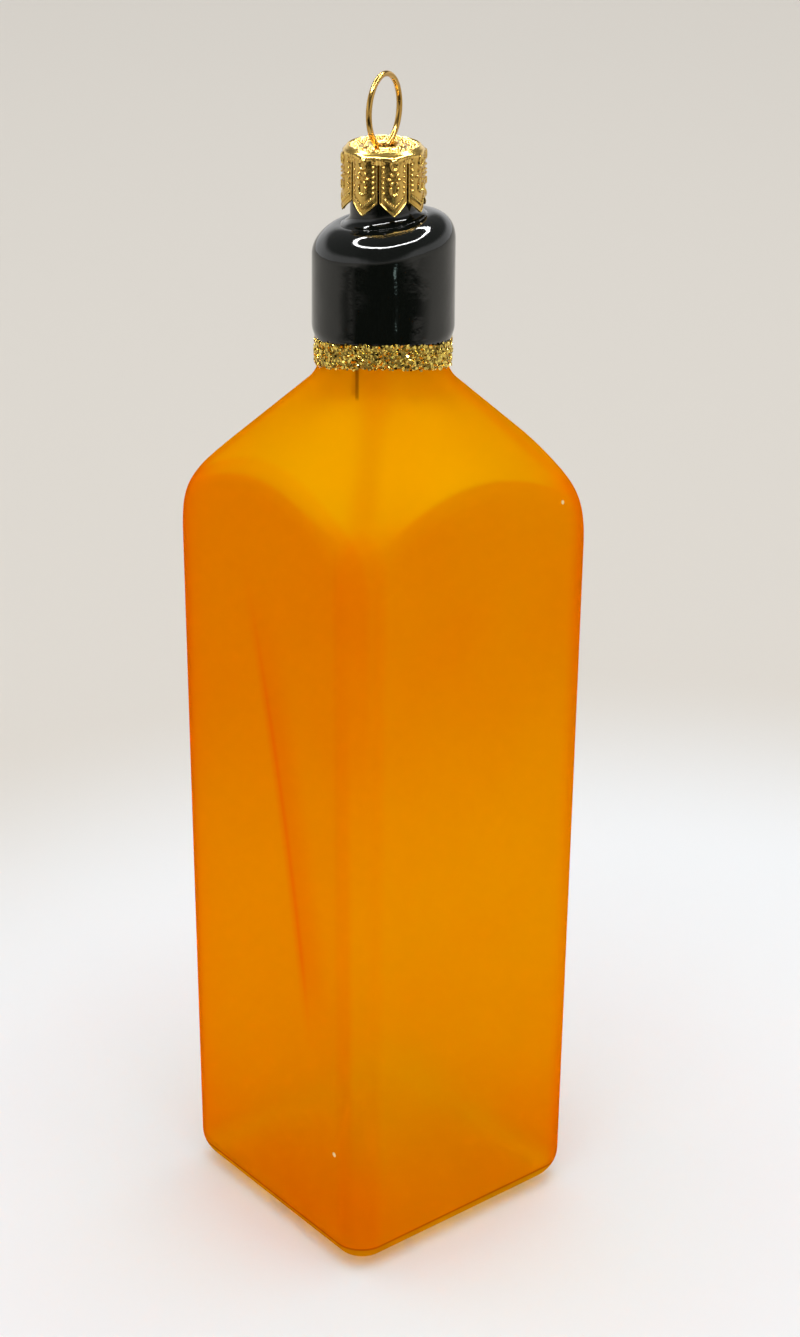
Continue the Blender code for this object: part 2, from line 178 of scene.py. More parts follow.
class GlitterSettings(bpy.types.PropertyGroup):
    """Sizes and colours of the glitter band."""

    foot_rise: length("Foot rise", "Height of the band's lower edge over the neck's foot", 0.0018)
    width: length("Width", "Width of the band", 0.00295)
    thickness: length("Thickness", "Thickness of glue and flakes", 0.00045)
    gap: length("Gap", "Space that the frame leaves under the glue", 0.00025)
    tilt: length("Tilt", "How far the band's lower edge is tilted", 0.0006)
    wave: length("Wave", "How far the band's lower edge waves", 0.00055)
    high_side: turn("High side", "Direction of the band's higher side, from the X axis", -38.7)
    flake_radius: length("Flake radius", "Radius of one hexagonal flake", 0.00018)
    flake_thickness: length("Flake thickness", "Thickness of one flake", 0.00003)
    flake_count: IntProperty(name="Flakes", description="Number of flakes", default=5200)
    gold: color("Gold", "Colour of the flakes", "#E8CC64")
    glue: color("Glue", "Colour of the glue under the flakes", "#3E2C00")


class CrownSettings(bpy.types.PropertyGroup):
    """Sizes and colours of the stamped crown."""

    sheet: length("Sheet", "Thickness of the brass sheet", 0.00028)
    eyelet_radius: length("Eyelet radius", "Radius of the hole for the wire", 0.00126)
    rim_rounding: length("Rim rounding", "Rounding of the rim", 0.0008)
    point_length: length("Point length", "Length of a prong's pointed end", 0.0016)
    bow: length("Bow", "How far a prong's edges lie behind its middle", 0.00052)
    slit_width: length("Slit width", "Width of the slits between prongs", 0.0002)
    slit_drop: length("Slit drop", "Depth under the top where the slits start", 0.0013)
    relief: length("Relief", "Height of the ornament on the prongs", 0.00021)
    disc_relief: length("Disc relief", "Height of the ornament on the disc", 0.00034)
    prongs: IntProperty(name="Prongs", description="Number of prongs", default=8)
    turned: turn("Turned", "Direction of the first slit, from the X axis", -1.7)
    gilt: color("Gilt", "Colour of the gilt brass", "#FFDE7C")
    # Painted shade: the dark end of the crown's painted light and shade, deepest round raised work
    shaded_gilt: color("Tarnish", "Colour of the gilding in its hollows", "#985C04")


class WireSettings(bpy.types.PropertyGroup):
    """Sizes and colour of the spring-wire hanger."""

    radius: length("Radius", "Radius of the wire", 0.00036)
    foot_half_spacing: length("Foot half spacing", "Half the distance of the loop's feet", 0.00065)
    loop_half_width: length("Loop half width", "Half the width at its centre line", 0.0036)
    loop_half_height: length("Loop half height", "Half the height at its centre line", 0.00425)
    loop_rise: length("Loop rise", "Height of the loop's centre over the cap", 0.00425)
    leg_play: length("Leg play", "Space between the legs and the glass", 0.00014)
    leg_bend: length("Leg bend", "Rounding of the legs under the pike", 0.012)
    leg_overhang: length("Leg overhang", "How far the legs reach under the neck's foot", 0.001)
    turned: turn("Turned", "Direction of the loop's plane, from the X axis", -68.7)
    gilt: color("Gilt", "Colour of the gilt wire", "#C29A50")


class StudioSettings(bpy.types.PropertyGroup):
    """Camera, floor and lamps. A brightness of 1 is that of white paper in full light."""

    camera_place: place("Camera place", "Where the camera stands", (0.24816, -0.19871, 0.22189))
    camera_heading: turn("Camera heading", "Direction it looks in, from the Y axis", 50.886)
    camera_pitch: turn("Camera pitch", "How far it looks down", 24.563)
    camera_roll: turn("Camera roll", "How far it is rolled", 0.458)
    focal_length: FloatProperty(
        name="Focal length", description="Of a lens on 36 mm film", default=73.07, unit="CAMERA"
    )
    floor_radius: length("Floor radius", "Radius of the round floor", 3.0)
    # Painted light: a cooler tint right round the object, against the orange light from the glass
    floor_under: color("Floor under", "Colour of the floor right at the object", "#F0F9FB")
    floor_near: color("Floor near", "Colour of the floor under the object", "#F1F4F6")
    floor_far: color("Floor far", "Colour of the floor far away", "#DCD7CF")
    pool_middle: place("Pool middle", "Middle of the pool of light on the floor", (0.045, 0.015, 0))
    tent_light: strength("Tent light", "Brightness of the light tent's cloth", 0.62)
    opening_light: strength("Opening light", "Brightness of the room in the tent's opening", 0.12)
    top_light: strength("Top light", "Brightness of the softbox overhead", 2.0)
    window_light: strength("Window light", "Brightness of the window in glossy parts", 3.5)
    window_tint: color("Window tint", "Colour of the window's light", "#DDFFF7")
    window_turn: turn("Window turn", "Direction of the window, to the right of the camera", 19.3)
    wall_light: strength("Wall light", "Brightness of the walls in glossy parts", 1.0)
    ceiling_light: strength("Ceiling light", "Brightness of the ceiling in glossy parts", 0.2)
    ring_light: strength("Ring light", "Brightness of the tubes overhead in glossy parts", 46.0)


# Meshes


def grid_quads(rows, columns, closed=True):
    """Quads of a grid whose points run row by row. A closed grid's last column meets its first."""
    row = np.arange(rows - 1)[:, None] * columns
    column = np.arange(columns if closed else columns - 1)[None, :]
    following = (column + 1) % columns
    corners = (row + column, row + following, row + columns + following, row + columns + column)
    return np.stack(np.broadcast_arrays(*corners), axis=-1).reshape(-1, 4)


def fan(ring, middle):
    """Triangles between a ring of point numbers and the number of the point in its middle."""
    return np.stack([ring, np.roll(ring, -1), np.full(len(ring), middle)], axis=1).tolist()


def back_fan(ring, middle):
    """The same triangles, facing the other way."""
    return [[second, first, third] for first, second, third in fan(ring, middle)]


def add_object(name, points, faces, finish):
    """A mesh in the frame's own coordinates."""
    mesh = bpy.data.meshes.new(name)
    mesh.from_pydata(np.asarray(points).reshape(-1, 3).tolist(), [], [list(f) for f in faces])
    mesh.materials.append(finish)
    made = bpy.data.objects.new(name, mesh)
    bpy.context.scene.collection.objects.link(made)
    return made


def add_piece(name, points, faces, finish, body):
    """A smooth mesh that rides on a body of the frame."""
    made = add_object(name, points, faces, finish)
    made.data.validate()
    made.data.shade_smooth()
    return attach(made, body)


def unit(vectors):
    return vectors / np.linalg.norm(vectors, axis=-1, keepdims=True)


def smooth_step(value):
    held = np.clip(value, 0, 1)
    return held * held * (3 - 2 * held)


# Form of the glass, which the lacquer and the band follow


def arc(centre, start, end, steps):
    """Points after start, up to end, on the shorter arc: centre + reach * (cos a, sin a)."""
    first = math.atan2(start[1] - centre[1], start[0] - centre[0])
    last = math.atan2(end[1] - centre[1], end[0] - centre[0])
    angles = first + math.remainder(last - first, math.tau) * np.arange(1, steps + 1) / steps
    reach = np.linalg.norm(start - centre)
    return centre + reach * np.stack([np.cos(angles), np.sin(angles)], axis=1)


def turned_outline(corners):
    """Radius and height along straight runs whose inner corners are rounded.

    An arc reaches rounding * tan(turn / 2) along its runs, and less where two arcs would meet.
    """
    places = np.array([(c.radius, c.height) for c in corners])
    runs = np.diff(places, axis=0)
    lengths = np.linalg.norm(runs, axis=1)
    ways = runs / lengths[:, None]
    half_turns = np.arccos(np.clip(np.sum(ways[:-1] * ways[1:], axis=1), -1, 1)) / 2
    wanted = np.concatenate([[0], [c.rounding for c in corners[1:-1]] * np.tan(half_turns), [0]])
    fits = np.minimum(0.98 * lengths / np.maximum(wanted[:-1] + wanted[1:], 1e-9), 1)
    reaches = wanted[1:-1] * np.minimum(fits[:-1], fits[1:])
    points = places[:1]
    for k, (reach, half_turn) in enumerate(zip(reaches, half_turns), 1):
        start, end = places[k] - ways[k - 1] * reach, places[k] + ways[k] * reach
        bisector = unit(ways[k] - ways[k - 1])
        centre = places[k] + bisector * reach / math.sin(half_turn)
        along = np.linspace(0, 1, corners[k].run_steps + 1)[1:, None]
        points = np.vstack([points, points[-1] + (start - points[-1]) * along])
        points = np.vstack([points, arc(centre, start, end, corners[k].arc_steps)])
    along = np.linspace(0, 1, corners[-1].run_steps + 1)[1:, None]
    return np.vstack([points, points[-1] + (places[-1] - points[-1]) * along])


def offset_outline(outline, distance):
    """The outline moved along its normals by distance, outwards where it is positive."""
    runs = unit(np.diff(outline, axis=0))
    before, after = np.vstack([runs[:1], runs]), np.vstack([runs, runs[-1:]])
    middle = unit(before + after)
    outward = np.stack([middle[:, 1], -middle[:, 0]], axis=1)
    return outline + outward * distance / np.sum(middle * after, axis=1)[:, None]


class GlassForm:
    """The blown form as formulas of height and angle, with its sizes read from the settings."""

    face_steps = 26
    edge_steps = 22
    base_edge_steps = 14
    dish_steps = 9
    neck_top_rounding = 1.2 * MILLIMETRE
    bulb_side_rise = 1.9 * MILLIMETRE
    bulb_side_rounding = 2.2 * MILLIMETRE
    bulb_taper = 0.99

    def __init__(self, scene):
        self.s = scene.ornament_glass
        s = self.s
        cone_height = (s.corner_reach - s.neck_radius) / math.tan(s.cone_angle)
        self.neck_foot = s.shoulder_height + cone_height
        self.bulb_foot = self.neck_foot + s.neck_length
        self.bulb_top = self.bulb_foot + s.bulb_height
        self.mouth = GLASS_HIGH.z
        self.bulb_radius = s.neck_radius + s.bulb_swell
        edge_start = math.atan2(s.widest_half_side - s.side_edge, s.widest_half_side)
        face = np.linspace(-edge_start, edge_start, self.face_steps, endpoint=False)
        edge = np.linspace(edge_start, math.pi / 2 - edge_start, self.edge_steps, endpoint=False)
        quarters = np.arange(4)[:, None] * math.pi / 2
        self.angles = (np.concatenate([face, edge])[None, :] + quarters).ravel()

    def bulb_corners(self, end):
        """Corners of the bulb and the pike, up to a height on the pike."""
        s = self.s
        side_foot = self.bulb_foot + self.bulb_side_rise
        return [
            Corner(self.bulb_radius, side_foot, self.bulb_side_rounding, 8, 4),
            Corner(self.bulb_radius * self.bulb_taper, self.bulb_top, s.bulb_rounding, 16, 8),
            Corner(s.pike_radius, self.bulb_top, s.pike_fillet, 8, 6),
            Corner(s.pike_radius, end, 0, 1, 6),
        ]

    def outline(self):
        """The glass's turned outline, from the top of the base edge up to the mouth."""
        s = self.s
        return turned_outline(
            [
                Corner(s.corner_reach, s.base_edge, 0, 1, 1),
                Corner(s.corner_reach, s.shoulder_height, s.shoulder_rounding, 30, 14),
                Corner(s.neck_radius, self.neck_foot, s.neck_fillet, 14, 40),
                Corner(s.neck_radius, self.bulb_foot, self.neck_top_rounding, 5, 2),
            ]
            + self.bulb_corners(self.mouth)
        )

    def square_reach(self, half_side, edge):
        """Distance from the axis to a square with rounded edges, at each angle.

        It is half_side / cos(angle) on a face. On an edge it is where the ray leaves the circle.
        """
        off_axis = np.abs((self.angles + math.pi / 4) % (math.pi / 2) - math.pi / 4)[None, :]
        flat = half_side / np.cos(off_axis)
        edge_centre = (half_side - edge) * math.sqrt(2)
        off_corner = math.pi / 4 - off_axis
        chord = np.maximum(edge**2 - (edge_centre * np.sin(off_corner)) ** 2, 0)
        rounded = edge_centre * np.cos(off_corner) + np.sqrt(chord)
        return np.where(flat * np.sin(off_axis) <= half_side - edge, flat, rounded)

    def leaned(self, points):
        """Lifts the bulb's top by its distance from the axis times tan(lean).

        The lift is eased in over the upper 70% of the bulb, and out over the lower 90% of the pike.
        """
        s = self.s
        height = points[..., 2]
        rise = smooth_step(((height - self.bulb_foot) / s.bulb_height - 0.3) / 0.7)
        fall = smooth_step((height - self.bulb_top) / (self.mouth - self.bulb_top) / 0.9)
        towards = np.array([math.cos(s.bulb_lean_towards), math.sin(s.bulb_lean_towards)])
        lift = points[..., :2] @ towards * math.tan(s.bulb_lean) * rise * (1 - fall)
        return points + lift[..., None] * UP

    def rings(self, reach, height):
        """Points at a reach and a height for each row and angle, with the bulb's lean."""
        reach, height = np.broadcast_arrays(reach, height)
        points = [reach * np.cos(self.angles), reach * np.sin(self.angles), height]
        return self.leaned(np.stack(points, axis=-1))

    def body(self, turned_radius, height, inset, depth):
        """Rings of the glass, where the square body and the turned form meet in a soft crease.

        The soft least of two reaches a and b over a blend w is b + (a - b) t - w t (1 - t), with
        t = (1 + (b - a) / w) / 2 held between 0 and 1.
        """
        s = self.s
        flare = s.face_flare * (np.minimum(height / s.shoulder_height, 1) - 1)
        half_side = s.widest_half_side + flare - inset - depth
        square = self.square_reach(half_side, s.side_edge - s.edge_tightening * inset - depth)
        t = np.clip((1 + (turned_radius - square) / s.arch_blend) / 2, 0, 1)
        soft = turned_radius + (square - turned_radius) * t - s.arch_blend * t * (1 - t)
        return self.rings(soft, height + 0 * soft)

    def surface(self, depth):
        """Rings from the base edge to the mouth, at a depth under the outer surface.

        The base edge is a quarter round of radius r: r (1 - sin a) inwards and r (1 - cos a) up.
        """
        s = self.s
        angles = np.linspace(0, math.pi / 2, self.base_edge_steps, endpoint=False)[:, None]
        edge = s.base_edge - depth
        inset = edge * (1 - np.sin(angles))
        base = self.body(s.corner_reach - depth, depth + edge * (1 - np.cos(angles)), inset, depth)
        radius, height = offset_outline(self.outline(), -depth).T[:, :, None]
        return np.concatenate([base, self.body(radius, height, 0, depth)])

    def dished_base(self, first_ring, rise):
        """Rings from the middle out to the first one, over a dish of height rise (1 - t^2)^2."""
        t = np.linspace(0, 1, self.dish_steps, endpoint=False)[1:, None, None]
        return first_ring * (1 - UP) * t + first_ring * UP + rise * (1 - t * t) ** 2 * UP

    def neck_reach(self, height, distance):
        """Radius at a height of the surface that lies a distance outside the neck and the bulb."""
        outline = offset_outline(self.outline(), distance)
        below_top = outline[:, 1] < self.bulb_top - self.s.bulb_rounding
        upright = outline[(outline[:, 1] > self.s.shoulder_height) & below_top]
        return np.interp(height, upright[:, 1], upright[:, 0])


# Materials

# Kinds of node that need settings of their own. All others are called by Blender's own names.
NODE_KINDS = {
    "sum": ("Math", {"operation": "ADD"}),
    "difference": ("Math", {"operation": "SUBTRACT"}),
    "product": ("Math", {"operation": "MULTIPLY"}),
    "product_plus": ("Math", {"operation": "MULTIPLY_ADD"}),
    "size": ("Math", {"operation": "ABSOLUTE"}),
    "least": ("Math", {"operation": "MINIMUM"}),
    "most": ("Math", {"operation": "MAXIMUM"}),
    "eased": ("MapRange", {"interpolation_type": "SMOOTHSTEP"}),
    "tint": ("Mix", {"data_type": "RGBA"}),
    "stretch": ("VectorMath", {"operation": "MULTIPLY"}),
    "direction": ("VectorMath", {"operation": "NORMALIZE"}),
    "length": ("VectorMath", {"operation": "LENGTH"}),
    "distance": ("VectorMath", {"operation": "DISTANCE"}),
    "reach": ("VectorMath", {"operation": "DOT_PRODUCT"}),
    "relief": ("Attribute", {"attribute_name": "relief"}),
}


def add_node(tree, kind, *values, **named):
    """Adds a node. Values fill its inputs in use in their order, and named ones those of that name.

    A name has _ for a space. A value is a number, a colour, a vector, a socket, or a node, which
    stands for its first output in use.
    """
    kind, settings = NODE_KINDS.get(kind, (kind, {}))
    node = tree.nodes.new("ShaderNode" + kind)
    for key, value in settings.items():
        setattr(node, key, value)
    filled = list(zip([socket for socket in node.inputs if socket.enabled], values))
    filled += [(node.inputs[name.replace("_", " ")], value) for name, value in named.items()]
    for socket, value in filled:
        if isinstance(value, bpy.types.Node):
            value = next(output for output in value.outputs if output.enabled)
        if isinstance(value, bpy.types.NodeSocket):
            tree.links.new(value, socket)
        elif isinstance(socket.default_value, (int, float)):
            socket.default_value = value
        else:
            socket.default_value = (*value, 1.0)[: len(socket.default_value)]
    return node


def finished(surface, *details):
    """The material that a surface function describes, under that function's name."""
    made = bpy.data.materials.new(surface.__name__)
    made.use_nodes = True
    made.node_tree.nodes.clear()
    node = partial(add_node, made.node_tree)
    node("OutputMaterial", surface(node, *details))
    return made


def spaced(millimetres):
    """The scale of a pattern whose forms lie this far apart on the real object."""
    return 1 / (millimetres * MILLIMETRE)


def share_of(node, *factors):
    """The product of factors. One that is (value, start, end) eases from 0 at start to 1 at end."""
    result = 1.0
    for factor in factors:
        if isinstance(factor, tuple):
            factor = node("eased", *factor)
        result = node("product", factor, result)
    return result


def dark_streak(node, across, up):
    """How deep a darker streak is: a soft line that bends as it falls, with a wash beyond it.

    Its middle lies at 11.4 - 0.042 * height - 0.0012 * height^2, with all in millimetres.
    """
    bend = node("product_plus", up, -0.0012, -0.042)
    off_line = node("difference", across, node("product_plus", up, bend, 11.4))
    line = share_of(node, 0.38, (node("size", off_line), 1.4, 0.0))
    wash = share_of(node, 0.35, (off_line, -0.2, 0.5), (off_line, 7.0, 1.0))
    return node("sum", line, wash)


def satin_orange_glass(node, s):
    """Blown soda glass under a satin orange lacquer, sprayed on the outside and half matt.

    It lets light through and scatters it, so the hollow glows. It is deeper where it is seen edge
    on, where the lacquer lies thicker in random clouds, darker towards the foot and along one soft
    streak. Painted shade darkens the upright edges, the cone's ridges, the upper left face and a
    line on the base edge, and a painted dark line stands for the hanger's leg where it shows
    through.
    Painted light makes the cone, the lower right face, a strip under that line and the underside
    paler, and paints a sheen on the shoulders. Two pinholes shine. Places are in millimetres.
    """
    place_on = node("TexCoord").outputs["Object"]
    placed = node("stretch", place_on, [1 / MILLIMETRE] * 3)
    x, y, z = node("SeparateXYZ", placed).outputs
    off_x, off_y = node("size", x), node("size", y)
    grazing = node("LayerWeight", 0.35).outputs["Facing"]
    cloud = node("TexNoise", place_on, Scale=spaced(35.7), Detail=2.0)
    off_shade_line = node("size", node("difference", z, 3.5))
    off_ridge = node("size", node("difference", off_x, off_y))
    off_leg_shade = node("size", node("sum", node("reach", placed, RIGHTWARD), 3.1))
    nearest_wall = node("most", node("sum", off_x, 0.4), off_y)
    on_cone = (nearest_wall, 18.9, 18.4), (z, 103.0, 105.5)
    ridge = share_of(node, (off_ridge, 4.0, 0.6), *on_cone)
    edge_shade = (node("least", off_x, off_y), 14.0, 16.2), (z, 105.5, 102.5)
    left_face, right_face = (y, -16.5, -17.5), (x, 16.5, 17.5)
    leg_shade_line = (off_leg_shade, 0.3, 0.1), (z, 115.6, 116.1), (node("reach", placed, FRONTWARD), 0.0, 2.0)
    # Each tint that lies over the ones before it, with the factors of its share
    tints = [
        (s.deep_orange, grazing),
        (s.rim, (grazing, 0.7, 0.95)),
        # Painted light: the cone paler, where light from above comes through it
        (s.painted_light, 0.35, *on_cone),
        # Painted shade on the cone's ridges and the upright edges, then darker towards the foot
        (s.pooled_and_shade, 0.14, ridge),
        (s.pooled_and_shade, 0.25, *edge_shade),
        (s.pooled_and_shade, 0.16, (z, 26.0, 6.0)),
        # Painted light in a strip under a painted shade line on the base edge, and on the underside
        (s.foot, (z, 3.6, 3.3)),
        (s.crease, 0.7, (off_shade_line, 0.3, 0.1)),
        (s.bare, (z, 2.0, 1.4)),
        (s.pooled_and_shade, 0.25, (cloud, 0.45, 0.8)),
        # Painted shade on the upper left face
        (s.pooled_and_shade, 0.2, left_face, (z, 55.0, 95.0)),
        # Painted light on the lower right face
        (s.painted_light, 0.3, right_face, (z, 95.0, 45.0), (z, 10.0, 32.0)),
        (s.pooled_and_shade, dark_streak(node, x, z), left_face, (z, 30.0, 46.0), (z, 98.0, 72.0)),
        # Painted shade of the hanger's leg, seen through the glass
        (s.leg, 0.52, *leg_shade_line),
    ]
    tone = s.orange
    for colour, *factors in tints:
        tone = node("tint", share_of(node, *factors), tone, colour)
    swell = node("TexNoise", place_on, Scale=spaced(16.67), Detail=1.0)
    wavy = node("Bump", Height=swell, Strength=0.15, Distance=0.2 * MILLIMETRE)
    surface = node("BsdfGlass", Color=tone, Roughness=0.42, IOR=1.25, Normal=wavy)
    glow = node("MixShader", 0.2, surface, node("BsdfTranslucent", Color=tone))
    facing = node("product_plus", grazing, -1.2, 1)
    off_middle = node("product_plus", ridge, -0.6, 1)
    above_point = node("product_plus", node("eased", z, 104.0, 109.5), 0.65, 0.35)
    sheen = share_of(node, facing, off_middle, above_point, (z, 116.5, 113.0), *on_cone)
    coat_tone = node("tint", sheen, tone, s.sheen)
    coat_share = node("product_plus", sheen, 0.45, 0.17)
    for pinhole in ((14.2, -18.9, 17.4), (19.2, 13.2, 102.2)):
        in_pinhole = node("eased", node("distance", placed, pinhole), 0.4, 0.3)
        coat_tone = node("tint", in_pinhole, coat_tone, s.speck)
        coat_share = node("most", coat_share, in_pinhole)
    coat = node("BsdfPrincipled", Base_Color=coat_tone, Roughness=0.5, Specular_IOR_Level=0.0)
    return node("MixShader", coat_share, glow, coat)


def clear_glass(node):
    """The bare inner side of blown soda glass, clear and fire polished with a faint swell."""
    swell = node("TexNoise", node("TexCoord").outputs["Object"], Scale=spaced(11.11), Detail=1.0)
    wavy = node("Bump", Height=swell, Strength=0.1, Distance=0.1 * MILLIMETRE)
    clear = {"Base_Color": linear("#FFFCF4"), "Transmission_Weight": 1.0, "IOR": 1.25}
    return node("BsdfPrincipled", **clear, Roughness=0.03, Normal=wavy)


def black_lacquer(node, s):
    """Black solvent lacquer, dipped, so it is glossy and deep, with broad swells and dents."""
    place_on = node("TexCoord").outputs["Object"]
    swells = node("TexNoise", place_on, Scale=spaced(6.667), Detail=1.0)
    uneven = node("Bump", Height=swells, Strength=0.5, Distance=0.3 * MILLIMETRE)
    dents = node("TexNoise", place_on, Scale=spaced(3.03), Detail=4.0)
    dented = node("Bump", Height=dents, Strength=0.4, Distance=0.1 * MILLIMETRE, Normal=uneven)
    return node("BsdfPrincipled", Base_Color=s.black, Roughness=0.06, IOR=1.5, Normal=dented)


def gold_glitter(node, s):
    """Cut polyester flakes with a vapour-deposited metal coat, bright and nearly mirror smooth."""
    return node("BsdfPrincipled", Base_Color=s.gold, Metallic=1.0, Roughness=0.12)


def glitter_glue(node, s):
    """Clear glue that is full of fine gold dust, so it is dull and dark between the flakes."""
    grains = node("TexVoronoi", node("TexCoord").outputs["Object"], Scale=spaced(0.16667))
    dusted = node("tint", grains, s.glue, s.gold)
    rough = node("Bump", Height=grains, Strength=0.8, Distance=0.1 * MILLIMETRE)
    return node("BsdfPrincipled", Base_Color=dusted, Metallic=0.6, Roughness=0.4, Normal=rough)


def stamped_brass(node, s):
    """Stamped, flash gilt brass, with a painted highlight on raised work and painted shade round it.
    """
    tone = node("tint", node("relief").outputs["Fac"], s.shaded_gilt, s.gilt)
    dents = node("TexNoise", node("TexCoord").outputs["Object"], Scale=spaced(0.5556), Detail=2.0)
    rough = node("Bump", Height=dents, Strength=0.25, Distance=0.05 * MILLIMETRE)
    return node("BsdfPrincipled", Base_Color=tone, Metallic=1.0, Roughness=0.2, Normal=rough)


def gilt_spring_wire(node, s):
    """Drawn spring wire, flash gilt, with faint pits from the drawing die."""
    pits = node("TexNoise", node("TexCoord").outputs["Object"], Scale=spaced(1.111), Detail=2.0)
    worn = node("Bump", Height=pits, Strength=0.1, Distance=0.03 * MILLIMETRE)
    return node("BsdfPrincipled", Base_Color=s.gilt, Metallic=1.0, Roughness=0.18, Normal=worn)


# Pieces


class ORNAMENT_OT_blown_glass(bpy.types.Operator):
    """Builds the blown glass, a shell with an outer and an inner surface that meet at the mouth"""

    bl_idname = "ornament.blown_glass"
    bl_label = "Blown Glass"

    def execute(self, context):
        form = GlassForm(context.scene)
        s = form.s
        outside, inside = form.surface(0), form.surface(s.wall)
        outer_dish = form.dished_base(outside[0], s.base_dish)
        inner_dish = form.dished_base(inside[0], s.base_dish)
        walk = np.concatenate([outer_dish, outside, inside[::-1], inner_dish[::-1]])
        rows, columns = walk.shape[:2]
        middles = [(0, 0, s.base_dish), (0, 0, s.wall + s.base_dish)]
        points = np.vstack([walk.reshape(-1, 3), middles])
        first_ring, bottom = np.arange(columns), rows * columns
        last_ring = bottom - columns + first_ring
        fans = back_fan(first_ring, bottom) + fan(last_ring, bottom + 1)
        faces = grid_quads(rows, columns).tolist() + fans
        made = add_piece("blown_glass", points, faces, finished(satin_orange_glass, s), "glass")
        made.data.materials.append(finished(clear_glass))
        # The inner side starts at the mouth. The first fan comes after it, but lies outside.
        inner = np.arange(len(faces)) >= (len(outer_dish) + len(outside)) * columns
        inner[bottom - columns : bottom] = False
        made.data.polygons.foreach_set("material_index", inner.astype(np.int32))
        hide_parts("glass_bottle")
        return {"FINISHED"}


def band_edge(form, s, angles):
    """Height of the band's lower edge: tilt cos(a) + wave cos(2 a), with a from its high side."""
    away = angles - s.high_side
    return form.neck_foot + s.foot_rise + s.tilt * np.cos(away) + s.wave * np.cos(2 * away)


class ORNAMENT_OT_black_lacquer(bpy.types.Operator):
    """Builds the black coat, a thin sleeve that follows the bulb and the foot of the pike"""

    bl_idname = "ornament.black_lacquer"
    bl_label = "Black Lacquer"

    def coat(self, form, s, edge, distance):
        """Rings of one side of the coat: from the band's edge to the bulb's side, then upwards.

        They lie a distance outside the glass's turned outline, along its normals.
        """
        side = form.bulb_foot + form.s.bulb_height / 3
        along = np.linspace(0, 1, 14, endpoint=False)[:, None]
        height = edge + (side - edge) * along
        lower = form.rings(form.neck_reach(height, distance), height)
        end = form.bulb_top + (form.mouth - form.bulb_top) * s.pike_share
        outline = offset_outline(turned_outline(form.bulb_corners(end)), distance)
        radius, level = outline[outline[:, 1] > side].T[:, :, None]
        return np.concatenate([lower, form.rings(radius, level + 0 * form.angles)])

    def execute(self, context):
        form = GlassForm(context.scene)
        s, band = context.scene.ornament_lacquer, context.scene.ornament_glitter
        over_band = 0.03 * MILLIMETRE
        edge = band_edge(form, band, form.angles) + band.width + over_band
        outside = self.coat(form, s, edge, s.gap + s.thickness)
        inside = self.coat(form, s, edge, s.gap)
        walk = np.concatenate([outside, inside[::-1], outside[:1]])
        rows, columns = walk.shape[:2]
        quads = grid_quads(rows, columns) % ((rows - 1) * columns)
        made = add_piece("dipped_lacquer", walk[:-1], quads, finished(black_lacquer, s), "glass")
        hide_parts("stopper_lacquer")
        return {"FINISHED"}


